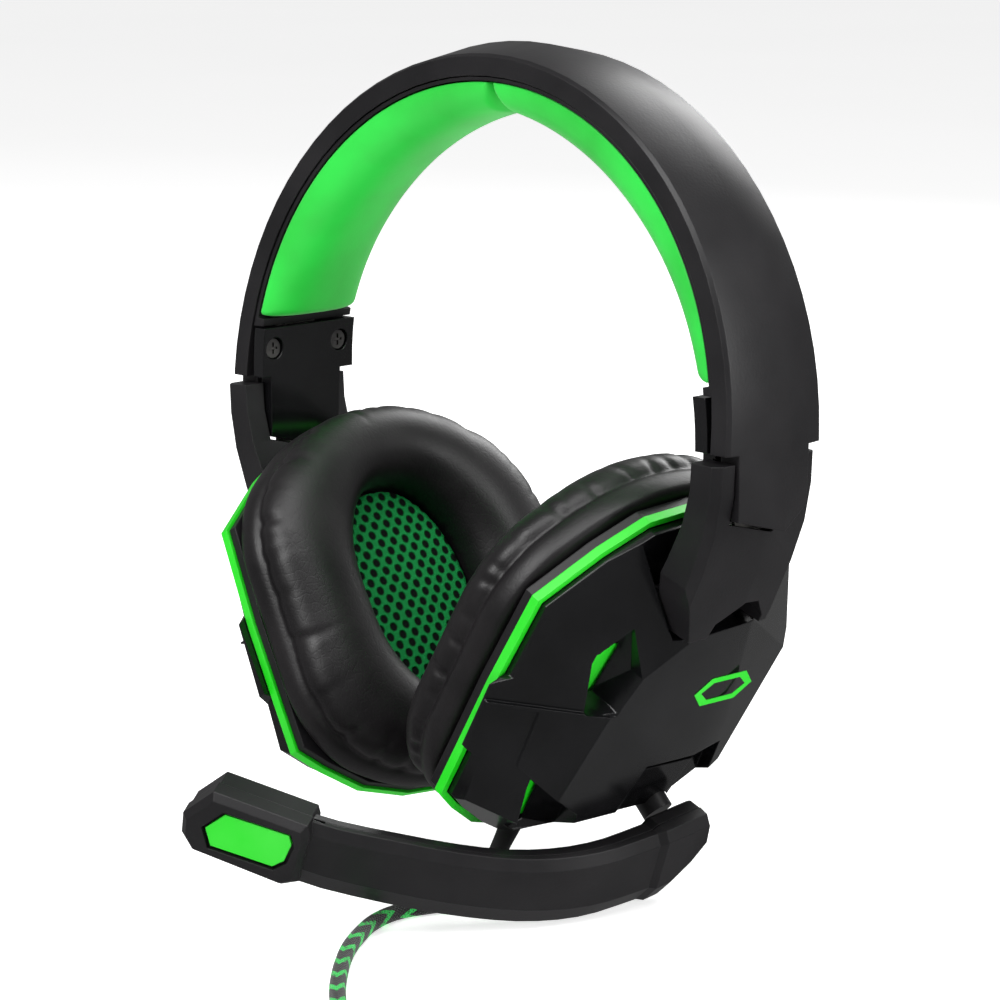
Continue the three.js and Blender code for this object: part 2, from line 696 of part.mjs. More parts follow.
// The arm's size at distances along it: a root block, a small step, then an even arm.
const BOOM_SIZES = [
  { at: 0, top: 7, bottom: -8, out: 5.4, back: -5 },
  { at: 4, top: 7.2, bottom: -13.5, out: 5.4, back: -5 },
  { at: 10, top: 7.4, bottom: -18.3, out: 5.4, back: -5 },
  { at: 15, top: 7.6, bottom: -18.2, out: 5.4, back: -5 },
  { at: 17, top: 6.6, bottom: -17.8, out: 4.4, back: -4.6 },
  { at: 37, top: 8, bottom: -15.8, out: 4.2, back: -4.4 },
  { at: 64, top: 9, bottom: -13.2, out: 4, back: -4.2 },
  { at: 90, top: 11, bottom: -11, out: 4, back: -4 },
  { at: 140, top: 12, bottom: -8, out: 4, back: -4 },
];
const BOOM_STEPS = [0, 4, 10, 15, 17, 24, 31, 37, 43, 49, 55, 61, 68, 75, 83, 91, 99, 107, 120];

function boomSize(at) {
  const i = Math.max(1, BOOM_SIZES.findIndex((size) => size.at >= at));
  const [a, b] = [BOOM_SIZES[i - 1], BOOM_SIZES[i]];
  const t = (at - a.at) / (b.at - a.at);
  return Object.fromEntries(Object.keys(a).map((key) => [key, mix(a[key], b[key], t)]));
}

function boomArm(profile) {
  const length = BOOM_CURVE.getLength();
  const sections = BOOM_STEPS.map((at) => {
    const u = Math.min(1, at / length);
    const [p, tangent] = [BOOM_CURVE.getPointAt(u), BOOM_CURVE.getTangentAt(u)];
    return profile(boomSize(at)).map(([out, height]) =>
      V(p.x + tangent.z * out, height, p.z - tangent.x * out),
    );
  });
  return loft(sections);
}

const outerSection = ({ top, bottom, out }) => [
  [-0.35, top],
  [out - 3, top],
  [out - 0.8, top - 2.6],
  [out, bottom + 7],
  [out - 2.8, bottom],
  [-0.35, bottom],
];
const innerSection = ({ top, bottom, back }) => [
  [-0.65, bottom + 0.5],
  [back + 1.2, bottom + 0.5],
  [back, bottom + 2.4],
  [back, top - 1.8],
  [back + 1, top - 0.8],
  [-0.65, top - 0.3],
];

// The microphone head: an outline in its own plane, s along the arm and h up.
const HEAD = { forward: 102.4, inward: 53.3, out: 5.4, back: 5.6, rim: 3.6 };
const PART_LINE = 0.65; // how far inwards of the middle the two halves meet
const HEAD_OUTLINE = [
  [-16.8, 9.5],
  [-17, -6.8],
  [-12.9, -10],
  [12, -10.3],
  [15.6, -6],
  [16.4, 0.5],
  [10, 11.2],
  [-15.5, 12.4],
];
const PANEL_OUTLINE = [
  [-12.2, -0.8],
  [-9.6, -4.2],
  [7.2, -5.6],
  [9.6, -0.4],
  [5.4, 6.4],
  [-11.8, 8],
  [-13, 5.3],
];
const CAPSULE = { radius: 4.8, front: 1.2, back: 5.3 };

const headFrame = () => {
  const angle = Math.atan2(BOOM_CURVE.getTangentAt(1).x, BOOM_CURVE.getTangentAt(1).z);
  const [s, c] = [Math.sin(angle), Math.cos(angle)];
  return new THREE.Matrix4()
    .makeBasis(V(s, 0, c), V(0, 1, 0), V(-c, 0, s))
    .setPosition(HEAD.forward, 0, HEAD.inward);
};
// The head is drawn with its outward side towards -z of its frame.
const inHead = (body) => solid(geometryOf(body).applyMatrix4(headFrame()));

function headOuter() {
  const face = insetOutline(ccw(HEAD_OUTLINE), 1.6).map(([s, h]) => [s, h, -HEAD.out]);
  const rim = ccw(HEAD_OUTLINE).flatMap(([s, h]) => [[s, h, PART_LINE - GAP], [s, h, -HEAD.rim]]);
  return hull([...rim, ...face]);
}

const headInner = () => prism(insetOutline(ccw(HEAD_OUTLINE), 0.5), PART_LINE, HEAD.back);
const micPanel = () => prism(ccw(PANEL_OUTLINE), -4.9, -4);
const panelSpace = () => prism(insetOutline(ccw(PANEL_OUTLINE), -0.9), -9, -3.7);
const capsuleSpace = () => cylinder(CAPSULE.radius + GAP, PART_LINE - 0.1, 9, 0, 0, 24);
const micCapsule = () => cylinder(CAPSULE.radius, CAPSULE.front, CAPSULE.back, 0, 0, 24);

// Near the head each half of the arm keeps to its own side of the head's parting plane.
const headSide = (z0, z1) => inHead(block(HEAD_OUTLINE[0][0] - 2, 30, -20, 20, z0, z1));

function boomOuterHalf() {
  return boomArm(outerSection)
    .subtract(headSide(PART_LINE - GAP, 20))
    .add(inHead(headOuter()))
    .subtract(inHead(panelSpace()));
}

function boomInnerHalf() {
  return boomArm(innerSection)
    .subtract(headSide(-20, PART_LINE))
    .add(inHead(headInner()))
    .subtract(inHead(capsuleSpace()));
}


// The shaft that the boom turns on leans, so that the boom swings up and away from the cup.
// Distances along it are counted outwards from the boom's inner face.
const SHAFT = { inner: -14.5, outer: -2, screwHole: 1.7 };
const shaftAxis = V(
  Math.sin(BOOM_DROP) * Math.sin(BOOM_PIVOT.lean),
  -Math.cos(BOOM_DROP) * Math.sin(BOOM_PIVOT.lean),
  Math.cos(BOOM_PIVOT.lean),
);
const SHAFT_FRAME = new THREE.Matrix4()
  .makeRotationFromQuaternion(new THREE.Quaternion().setFromUnitVectors(V(0, 0, 1), shaftAxis))
  .setPosition(BOOM_PIVOT.u, BOOM_PIVOT.v, BOOM_PIVOT.w);

const onShaft = (radius, from, to, sides) =>
  solid(geometryOf(cylinder(radius, from, to, 0, 0, sides)).applyMatrix4(SHAFT_FRAME));

const pivotShaft = () =>
  onShaft(BOOM_PIVOT.radius, SHAFT.inner, SHAFT.outer, 36).subtract(onShaft(SHAFT.screwHole, -16, -6, 16));
const pivotWasher = () => onShaft(5.6, -16, -14.8, 28).subtract(onShaft(SHAFT.screwHole, -17, -14, 16));
const pivotScrew = () => onShaft(3, -17.7, -16.3, 20).add(onShaft(SHAFT.screwHole - GAP, -16.5, -7, 16));

// ---------- lead ----------
// Turned about an axis: [radius, distance] pairs from one end to the other.
function turned(profile, sides = 20) {
  return new THREE.LatheGeometry(profile.map(([r, d]) => new THREE.Vector2(r, d)), sides);
}

// The moulded sleeve where the lead leaves the cup, pointing down the cup's plane.
function strainRelief() {
  const { u, w, radius } = RELIEF_SEAT;
  const profile = [[0, -58], [2.4, -58], [2.5, -54], [radius, -47], [radius, -42], [0, -42]];
  return solid(turned(profile).translate(u, 0, w));
}

// The lead's route: out of the sleeve, down to the surface inside the boom, forwards to the coil.
const LYING = SURFACE + CORD_RADIUS;
const CORD_ROUTE = [
  [18.5, -20, 9.4],
  [17, -20.2, 6.6],
  [15.2, -21.2, 3.4],
  [13, -23.2, 0.2],
  [10.6, -26, -2.5],
  [8.3, -29.5, -3.9],
  [6.2, -33.8, LYING],
  [4.6, -39.5, LYING],
  [4.7, -46, LYING],
  [7.2, -54, LYING],
  [11.6, -62, LYING],
  [18.2, -72, LYING],
  [25.6, -81, LYING],
  [33, -89, LYING],
  [41, -97, LYING],
  [50, -105, LYING],
  [59, -113, LYING],
  [66.6, -121.5, LYING],
  [72, -131, LYING],
  [75, -141, LYING],
  [76.1, -151, LYING],
  [76, -160, LYING],
];

function cable() {
  const path = new THREE.CatmullRomCurve3(CORD_ROUTE.map((p) => V(...p)));
  const circle = new THREE.Shape().absarc(0, 0, CORD_RADIUS, 0, 2 * Math.PI);
  const options = { steps: 40, curveSegments: 10, bevelEnabled: false, extrudePath: path };
  return solid(new THREE.ExtrudeGeometry(circle, options));
}

function cableCoil() {
  const { x, y, middle, half, bottom, height } = COIL;
  const [inner, outer, top] = [middle - half, middle + half, bottom + height];
  const profile = [[inner, bottom], [outer, bottom], [outer, top], [inner, top], [inner, bottom]];
  return solid(turned(profile, 40).rotateX(Math.PI / 2).translate(x, y, 0));
}

// A strap round the coil's section.
function cableTie() {
  const { x, y, middle, half, bottom, height } = COIL;
  const [air, strap, wide] = [0.5, 0.9, 5];
  const ring = (grow) =>
    block(middle - half - grow, middle + half + grow, -wide, wide, bottom - grow, bottom + height + grow);
  const tie = ring(air + strap).intersect(block(0, 60, -wide / 2, wide / 2, -20, 40)).subtract(ring(air));
  return tie.rotate([0, 0, 30]).translate([x, y, 0]);
}

// The plug lies along the tangent that the lead leaves the coil on.
const PLUG = { start: 0.4, y: COIL.y - COIL.middle - COIL.half - 4.6, z: SURFACE + 4.3 };
const alongPlug = (geometry) =>
  solid(geometry.rotateZ(-Math.PI / 2).translate(COIL.x + PLUG.start, PLUG.y, PLUG.z));

const plugBody = () =>
  alongPlug(turned([[0, 0], [2.6, 0], [3.2, 9], [4.2, 10], [4.2, 24], [3.6, 25], [3.6, 26.5], [0, 26.5]], 24));
const plugPin = () =>
  alongPlug(turned([[0, 26.8], [1.75, 26.8], [1.75, 38], [1.1, 39.2], [1.7, 40.4], [0, 41.2]], 16));

// ---------- assembly ----------
function inCup(...meshes) {
  const frame = group(...meshes);
  frame.applyMatrix4(CUP_FRAME);
  return frame;
}

headset.add(
  mesh("headband_outer_shell", outerShell(), MATTE),
  mesh("headband_inner_shell", innerShell(), MATTE),
  mesh("spring_band", springBand(), STEEL),
);

for (const { side, scale } of bothSides) {
  const withMic = side === "left";
  const shell = withMic ? outerCup().subtract(micCupHoles()) : outerCup();
  const half = group(
    mesh(`head_pad_${side}`, headPad(), PAD),
    mesh(`${side}_end_cover`, endCover(), GLOSS),
    ...SCREWS.map((screw) => mesh(`${side}_end_screw_${screw.place}`, endScrew(screw), SCREW)),
    mesh(`${side}_slider_strip`, sliderStrip(), STEEL),
    mesh(`${side}_yoke`, yoke(), MATTE),
    inCup(
      mesh(`${side}_outer_cup`, shell, GLOSS),
      mesh(`${side}_accent_insert`, accentInsert(), GREEN),
      mesh(`${side}_ring_trim`, ringTrim(), GREEN),
      mesh(`${side}_back_plate`, backPlate(), MATTE),
      mesh(`${side}_driver`, driver(), STEEL),
      mesh(`${side}_ear_cushion`, earCushion(), LEATHER),
      mesh(`${side}_speaker_cloth`, speakerCloth(), CLOTH_GREEN),
      ...BOSSES.map((boss) => mesh(`${side}_pivot_pin_${boss.place}`, pivotPin(boss), STEEL)),
      ...(withMic ? [mesh("wiring_board", wiringBoard(), BOARD)] : []),
    ),
  );
  half.scale.x = scale;
  headset.add(half);
}

const boom = group(
  mesh("mic_boom_outer_half", boomOuterHalf(), MATTE),
  mesh("mic_boom_inner_half", boomInnerHalf(), MATTE),
  mesh("mic_panel", inHead(micPanel()), GREEN),
  mesh("mic_capsule", inHead(micCapsule()), STEEL),
);
boom.applyMatrix4(BOOM_FRAME);

headset.add(
  boom,
  inCup(
    mesh("boom_pivot_shaft", pivotShaft(), MATTE),
    mesh("boom_pivot_washer", pivotWasher(), STEEL),
    mesh("boom_pivot_screw", pivotScrew(), SCREW),
    mesh("strain_relief", strainRelief(), MATTE),
  ),
  mesh("cable", cable(), BRAID),
  mesh("cable_coil", cableCoil(), BRAID),
  mesh("cable_tie", cableTie(), MATTE),
  mesh("plug_body", plugBody(), MATTE),
  mesh("plug_pin", plugPin(), STEEL),
);

// The origin is on the surface it stands on, under the middle of everything but the lead.
const LEAD = ["strain_relief", "cable", "cable_coil", "cable_tie", "plug_body", "plug_pin"];
headset.updateMatrixWorld(true);
const extent = new THREE.Box3();
headset.traverse((part) => {
  if (part.isMesh && !LEAD.includes(part.name)) extent.expandByObject(part, true);
});
const centre = extent.getCenter(V(0, 0, 0));
headset.position.set(-centre.x, -centre.y, -extent.min.z);

export default headset;
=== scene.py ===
"""Looks for a closed-back gaming headset with a swing-up microphone and a braided lead.

Everything is in metres, in the row frame: +Z up, the cups face each other along X, the front is -Y.
"""
import math

import bmesh
import bpy
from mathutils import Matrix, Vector


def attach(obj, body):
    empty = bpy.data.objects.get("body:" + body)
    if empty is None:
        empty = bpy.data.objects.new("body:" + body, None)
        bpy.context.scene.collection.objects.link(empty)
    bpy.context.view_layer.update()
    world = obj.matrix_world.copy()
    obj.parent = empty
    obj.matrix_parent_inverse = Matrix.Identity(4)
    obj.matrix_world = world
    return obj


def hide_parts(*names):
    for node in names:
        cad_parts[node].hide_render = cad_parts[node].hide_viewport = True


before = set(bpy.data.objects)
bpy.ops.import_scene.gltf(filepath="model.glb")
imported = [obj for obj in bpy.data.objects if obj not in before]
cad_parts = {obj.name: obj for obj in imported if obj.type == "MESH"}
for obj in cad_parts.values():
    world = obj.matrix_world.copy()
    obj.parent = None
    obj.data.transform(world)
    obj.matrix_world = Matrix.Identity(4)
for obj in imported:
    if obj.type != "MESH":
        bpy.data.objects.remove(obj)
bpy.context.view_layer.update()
scene = bpy.context.scene
MM = 0.001
SIDES = (("left", 1), ("right", -1))
OFFSET = Vector((0, 19.673, 6.313))  # from the part's own origin to the row frame, in mm


# ---------- camera ----------
TARGET = (Vector((0, 0, 98.5)) + OFFSET) * MM
ELEVATION = math.radians(11.0014)
TOWARDS = Vector(
    (
        math.sin(math.radians(45)) * math.cos(ELEVATION),
        -math.cos(math.radians(45)) * math.cos(ELEVATION),
        math.sin(ELEVATION),
    )
)
camera_data = bpy.data.cameras.new("camera")
camera_data.sensor_width = 36
camera_data.lens = 140.16
camera_data.clip_start = 0.01
camera = bpy.data.objects.new("camera", camera_data)
camera.location = TARGET + TOWARDS * 1.02457
camera.rotation_euler = (-TOWARDS).to_track_quat("-Z", "Y").to_euler()
scene.collection.objects.link(camera)
scene.camera = camera


# ---------- meshes ----------
def new_object(name, verts, faces, material=None, body=None, uvs=None):
    """A smooth mesh object with outward faces; uvs holds one pair for each vertex."""
    mesh = bpy.data.meshes.new(name)
    mesh.from_pydata([tuple(v) for v in verts], [], faces)
    if uvs:
        layer = mesh.uv_layers.new(name="along")
        for loop in mesh.loops:
            layer.data[loop.index].uv = uvs[loop.vertex_index]
    bm = bmesh.new()
    bm.from_mesh(mesh)
    bmesh.ops.recalc_face_normals(bm, faces=bm.faces)
    bm.to_mesh(mesh)
    bm.free()
    mesh.shade_smooth()
    obj = bpy.data.objects.new(name, mesh)
    scene.collection.objects.link(obj)
    if material:
        mesh.materials.append(material)
    if body:
        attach(obj, body)
    return obj


def strip_faces(rows, cols, round_rows=False, round_cols=False):
    faces = []
    for i in range(rows if round_rows else rows - 1):
        for j in range(cols if round_cols else cols - 1):
            a, b = i % rows * cols, (i + 1) % rows * cols
            k = (j + 1) % cols
            faces.append((a + j, a + k, b + k, b + j))
    return faces


def smooth_path(points, spacing):
    """Catmull-Rom curve through the points, resampled at an even spacing."""
    ends = [2 * points[0] - points[1], *points, 2 * points[-1] - points[-2]]
    dense = []
    for i in range(len(points) - 1):
        p0, p1, p2, p3 = ends[i : i + 4]
        for k in range(16):
            t = k / 16
            dense.append(
                0.5
                * (
                    2 * p1
                    + (p2 - p0) * t
                    + (2 * p0 - 5 * p1 + 4 * p2 - p3) * t * t
                    + (3 * p1 - p0 - 3 * p2 + p3) * t**3
                )
            )
    dense.append(points[-1])
    total = sum((b - a).length for a, b in zip(dense, dense[1:]))
    count = max(2, round(total / spacing))
    out, run, k = [dense[0]], 0.0, 1
    for i in range(1, count):
        goal = total * i / count
        while run + (dense[k] - dense[k - 1]).length < goal:
            run += (dense[k] - dense[k - 1]).length
            k += 1
        step = (dense[k] - dense[k - 1]).length
        out.append(dense[k - 1].lerp(dense[k], (goal - run) / step))
    out.append(dense[-1])
    return out


def tube(name, path, radius, sides, material, body):
    """A round tube along a path, with UVs in metres along it and turns around it."""
    verts, uvs, run = [], [], 0.0
    normal = None
    for i, p in enumerate(path):
        along = (path[min(i + 1, len(path) - 1)] - path[max(i - 1, 0)]).normalized()
        if normal is None:
            normal = along.orthogonal().normalized()
        normal = (normal - along * normal.dot(along)).normalized()
        side = along.cross(normal)
        run += (p - path[i - 1]).length if i else 0
        for k in range(sides + 1):
            a = 2 * math.pi * k / sides
            verts.append(p + (normal * math.cos(a) + side * math.sin(a)) * radius)
            uvs.append((run, k / sides))
    return new_object(name, verts, strip_faces(len(path), sides + 1), material, body, uvs)


# ---------- materials ----------
class Nodes:
    """A material's node tree, with short calls for the nodes used here."""

    def __init__(self, name):
        self.material = bpy.data.materials.new(name)
        self.material.use_nodes = True
        self.tree = self.material.node_tree
        self.shader = self.tree.nodes["Principled BSDF"]
        self.place = self.tree.nodes.new("ShaderNodeTexCoord").outputs["Object"]

    def put(self, socket, value):
        if isinstance(value, bpy.types.NodeSocket):
            self.tree.links.new(value, socket)
        else:
            socket.default_value = value

    def math(self, operation, a, b=0.0):
        node = self.tree.nodes.new("ShaderNodeMath")
        node.operation = operation
        for socket, value in zip(node.inputs, (a, b)):
            self.put(socket, value)
        return node.outputs[0]

    def noise(self, scale, detail=3.0):
        node = self.tree.nodes.new("ShaderNodeTexNoise")
        self.put(node.inputs["Vector"], self.place)
        node.inputs["Scale"].default_value = scale
        node.inputs["Detail"].default_value = detail
        return node.outputs["Fac"]

    def cells(self, scale, feature="F1"):
        node = self.tree.nodes.new("ShaderNodeTexVoronoi")
        node.feature = feature
        self.put(node.inputs["Vector"], self.place)
        node.inputs["Scale"].default_value = scale
        return node.outputs["Distance"]

    def span(self, value, low, high, to_low=0.0, to_high=1.0):
        node = self.tree.nodes.new("ShaderNodeMapRange")
        for socket, v in zip(node.inputs, (value, low, high, to_low, to_high)):
            self.put(socket, v)
        return node.outputs[0]

    def mix(self, factor, a, b):
        node = self.tree.nodes.new("ShaderNodeMix")
        node.data_type = "RGBA"
        self.put(node.inputs["Factor"], factor)
        self.put(node.inputs["A"], a)
        self.put(node.inputs["B"], b)
        return node.outputs["Result"]

    def uv(self):
        node = self.tree.nodes.new("ShaderNodeUVMap")
        node.uv_map = "along"
        parts = self.tree.nodes.new("ShaderNodeSeparateXYZ")
        self.tree.links.new(node.outputs[0], parts.inputs[0])
        return parts.outputs[0], parts.outputs[1]

    def edges(self, radius):
        """Normal rounded over an edge, and how near an edge the point is."""
        bevel = self.tree.nodes.new("ShaderNodeBevel")
        bevel.samples = 6
        bevel.inputs["Radius"].default_value = radius
        shape = self.tree.nodes.new("ShaderNodeNewGeometry")
        dot = self.tree.nodes.new("ShaderNodeVectorMath")
        dot.operation = "DOT_PRODUCT"
        self.put(dot.inputs[0], bevel.outputs[0])
        self.put(dot.inputs[1], shape.outputs["Normal"])
        return bevel.outputs[0], self.span(dot.outputs["Value"], 0.995, 0.86)

    def bump(self, height, distance, strength=1.0, normal=None):
        node = self.tree.nodes.new("ShaderNodeBump")
        node.inputs["Strength"].default_value = strength
        node.inputs["Distance"].default_value = distance
        self.put(node.inputs["Height"], height)
        if normal:
            self.put(node.inputs["Normal"], normal)
        return node.outputs[0]

    def finish(self, **sockets):
        for name, value in sockets.items():
            self.put(self.shader.inputs[name.replace("_", " ")], value)
        return self.material


def rgb(text):
    """Scene-linear colour of a screen colour such as 5fe655."""
    parts = [int(text[i : i + 2], 16) / 255 for i in (0, 2, 4)]
    return [c / 12.92 if c < 0.04045 else ((c + 0.055) / 1.055) ** 2.4 for c in parts] + [1]


def plastic(name, colour, worn, rough, grain=1400, depth=0.03, edge=0.45, wear=0.6, **extra):
    """Moulded plastic: fine spark-eroded grain, faint handling marks, edges rubbed lighter."""
    n = Nodes(name)
    rounded, near = n.edges(edge * MM)
    patches = n.noise(38, 4)
    rubbed = n.math("MULTIPLY", near, n.span(n.noise(240, 4), 0.36, 0.68, 0.15, wear))
    dust = n.mix(n.span(patches, 0.35, 0.75, 0, 0.35), rgb(colour), rgb(worn))
    haze = n.math("ADD", patches, n.math("MULTIPLY", rubbed, 0.3))
    return n.finish(
        Base_Color=n.mix(rubbed, dust, rgb(worn)),
        Roughness=n.span(haze, 0.3, 0.8, rough * 0.86, rough * 1.16),
        Normal=n.bump(n.noise(grain, 2), depth * MM, 0.5, rounded),
        **extra,
    )


def metal(name, colour, rough, brush=900):
    """Turned or stamped steel: fine brushing, smudges and softened edges."""
    n = Nodes(name)
    rounded, _ = n.edges(0.15 * MM)
    smudge = n.noise(120, 4)
    return n.finish(
        Base_Color=n.mix(n.span(smudge, 0.3, 0.75, 0, 0.5), rgb(colour), rgb("8f8d8a")),
        Roughness=n.span(smudge, 0.3, 0.7, rough * 0.8, rough * 1.3),
        Normal=n.bump(n.noise(brush, 2), 0.01 * MM, 0.5, rounded),
        Metallic=1.0,
    )


def leatherette(name):
    """Coated black fabric: fine pores, shallow creases and a slightly uneven shine."""
    n = Nodes(name)
    pores = n.cells(1300)
    creases = n.cells(420, "DISTANCE_TO_EDGE")
    tone = n.noise(55, 4)
    height = n.math("ADD", n.math("MULTIPLY", pores, 0.5), n.span(creases, 0, 0.12, 0, 0.6))
    return n.finish(
        Base_Color=n.mix(n.span(tone, 0.3, 0.75), rgb("0b090b"), rgb("181517")),
        Roughness=n.span(tone, 0.25, 0.75, 0.38, 0.52),
        Normal=n.bump(height, 0.06 * MM, 0.35),
        Specular_IOR_Level=0.45,
    )


def pad_fabric(name):
    """Smooth green padding with a fine matt grain."""
    n = Nodes(name)
    grain = n.noise(1700, 3)
    tone = n.noise(45, 3)
    return n.finish(
        Base_Color=n.mix(n.span(tone, 0.3, 0.7), rgb("00b026"), rgb("06c834")),
        Roughness=n.span(tone, 0.3, 0.7, 0.5, 0.62),
        Normal=n.bump(n.math("ADD", grain, n.math("MULTIPLY", n.cells(900), 0.5)), 0.05 * MM, 0.4),
        Sheen_Weight=0.15,
    )


def air_mesh(name):
    """Spacer fabric: staggered oval holes between rounded knitted threads, in UV metres; the holes carry
    painted shade, a near-black colour standing for the depth seen through them.
    """
    n = Nodes(name)
    across, up = n.uv()
    pitch_u, pitch_v = 4.4 * MM, 5.2 * MM
    row = n.math("DIVIDE", up, pitch_v / 2)
    odd = n.math("MODULO", n.math("ABSOLUTE", n.math("FLOOR", n.math("ADD", row, 0.5))), 2)
    local_v = n.math("SUBTRACT", n.math("FRACT", n.math("ADD", row, 100.5)), 0.5)
    column = n.math("ADD", n.math("DIVIDE", across, pitch_u), n.math("MULTIPLY", odd, 0.5))
    local_u = n.math("SUBTRACT", n.math("FRACT", n.math("ADD", column, 100.5)), 0.5)
    far = n.math(
        "SQRT",
        n.math(
            "ADD",
            n.math("POWER", n.math("MULTIPLY", n.math("ABSOLUTE", local_u), 2.0), 2),
            n.math("POWER", n.math("MULTIPLY", n.math("ABSOLUTE", local_v), 1.15), 2),
        ),
    )
    thread = n.span(far, 0.42, 0.62)
    knit = n.math("SINE", n.math("MULTIPLY", n.math("ADD", across, up), 2 * math.pi / (0.7 * MM)))
    fibre = n.math("ADD", n.noise(2600, 2), n.math("MULTIPLY", knit, 0.25))
    colour = n.mix(n.span(fibre, 0.2, 0.9), rgb("07702f"), rgb("1fa457"))
    return n.finish(
        # the holes get painted shade: near-black colour in place of the dark depth behind the threads
        Base_Color=n.mix(thread, rgb("010a05"), colour),
        Roughness=0.75,
        Specular_IOR_Level=0.15,
        Normal=n.bump(n.math("ADD", thread, n.math("MULTIPLY", fibre, 0.15)), 0.7 * MM, 0.9),
    )


def braid(name):
    """Textile braid: crossing ribs in black, with pairs of green yarns making zig-zag flecks."""
    n = Nodes(name)
    along, around = n.uv()
    lay = n.math("DIVIDE", along, 2.6 * MM)
    turn = n.math("MULTIPLY", around, 6.0)
    right = n.math("SINE", n.math("MULTIPLY", n.math("ADD", lay, turn), 2 * math.pi))
    left = n.math("SINE", n.math("MULTIPLY", n.math("SUBTRACT", lay, turn), 2 * math.pi))
    height = n.math("MAXIMUM", n.math("ABSOLUTE", right), n.math("ABSOLUTE", left))
    long_lay = n.math("DIVIDE", along, 10.4 * MM)
    zig = n.math("PINGPONG", n.math("MULTIPLY", around, 3.0), 0.5)
    fleck = n.math("FRACT", n.math("ADD", long_lay, zig))
    green = n.math("MULTIPLY", n.math("LESS_THAN", fleck, 0.34), n.math("GREATER_THAN", height, 0.45))
    broken = n.math("MULTIPLY", green, n.span(n.noise(900, 1), 0.3, 0.42))
    black = n.mix(n.span(n.noise(2200, 2), 0.3, 0.7), rgb("0d0d0e"), rgb("2a2a2b"))
    return n.finish(
        Base_Color=n.mix(broken, black, rgb("19d052")),
        Roughness=0.68,
        Normal=n.bump(n.math("ADD", height, n.math("MULTIPLY", n.noise(3000, 1), 0.2)), 0.25 * MM, 0.8),
        Sheen_Weight=0.25,
    )


def circuit_board(name):
    """Green lacquer over pale tracks."""
    n = Nodes(name)
    tracks = n.math("GREATER_THAN", n.cells(520, "DISTANCE_TO_EDGE"), 0.06)
    return n.finish(
        Base_Color=n.mix(tracks, rgb("6fa76b"), rgb("155c2a")),
        Roughness=n.span(n.noise(300), 0.3, 0.7, 0.3, 0.45),
        Normal=n.bump(tracks, 0.05 * MM, 0.6),
    )


MATTE = plastic("matte_black", "131214", "2c2a2c", 0.4, depth=0.05, wear=0.45, Specular_IOR_Level=0.4)
GLOSS = plastic("gloss_black", "050506", "1d1d1f", 0.17, grain=700, depth=0.006, edge=0.5, wear=0.4)
GREEN = plastic("bright_green", "0fc80e", "4fe04a", 0.36, depth=0.03, edge=0.3, wear=0.4)
RUBBER = plastic("soft_rubber", "161617", "2c2c2d", 0.6, grain=1900, depth=0.05, wear=0.4)
STEEL = metal("steel", "b9b7b3", 0.3)
DARK_SCREW = metal("dark_screw", "3b3a3c", 0.36)
BOARD = circuit_board("circuit_board")
LEATHER = leatherette("leatherette")
PAD = pad_fabric("pad_green")
CLOTH = air_mesh("mesh_green")
BRAID = braid("braid")

# ---------- lead ----------
# Out of the sleeve, down to the floor, and along it to the coil, in mm from the part's own origin.
ROUTE = [
    (18.5, -20, 9.4), (17, -20.2, 6.6), (15.2, -21.2, 3.4), (13, -23.2, 0.2), (10.6, -26, -2.5),
    (8.3, -29.5, -3.9), (6.2, -33.8, -4.2), (4.6, -39.5, -4.2), (4.7, -46, -4.2), (7.2, -54, -4.2),
    (11.6, -62, -4.2), (18.2, -72, -4.2), (25.6, -81, -4.2), (33, -89, -4.2), (41, -97, -4.2),
    (50, -105, -4.2), (59, -113, -4.2), (66.6, -121.5, -4.2), (72, -131, -4.2), (75, -141, -4.2),
]
COIL_CENTRE = Vector((110, -162, -6.3))
TURNS = 3  # in each layer
LAYER_HEIGHTS = (3.6, 7.8, 12.0, 16.2)
OUTER, INNER = 29.3, 16.7
TAIL_REACH, PLUG_HEIGHT = 6.7, 4.3  # how far out the tail swings, and where it meets the plug
TURN_STEPS = 24


def coil_points():
    """Flat spirals wound in, out, in and out, each lying on the one below, then the tail to the plug."""
    points = []
    angle = math.pi
    step = 2 * math.pi / TURN_STEPS

    def at(radius, z):
        return COIL_CENTRE + Vector((radius * math.cos(angle), radius * math.sin(angle), z))

    for layer, z in enumerate(LAYER_HEIGHTS):
        start, end = (OUTER, INNER) if layer % 2 == 0 else (INNER, OUTER)
        count = TURNS * TURN_STEPS
        for i in range(count):
            points.append(at(start + (end - start) * i / count, z))
            angle += step
        if layer < len(LAYER_HEIGHTS) - 1:
            for i in range(6):
                t = (1 - math.cos(math.pi * i / 6)) / 2
                points.append(at(end, z + (LAYER_HEIGHTS[layer + 1] - z) * t))
                angle += step
    for i in range(13):
        t = (1 - math.cos(math.pi * i / 12)) / 2
        points.append(at(OUTER + TAIL_REACH * t, LAYER_HEIGHTS[-1] + (PLUG_HEIGHT - LAYER_HEIGHTS[-1]) * t))
        angle += step
    return points


lead_points = [Vector(p) for p in ROUTE] + coil_points()
lead_path = smooth_path([(p + OFFSET) * MM for p in lead_points], 0.0022)
lead = tube("braided_lead", lead_path, 2.1 * MM, 14, BRAID, "left_cup")
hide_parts("cable", "cable_coil")
nodes = {name: bpy.data.objects[name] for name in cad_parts}

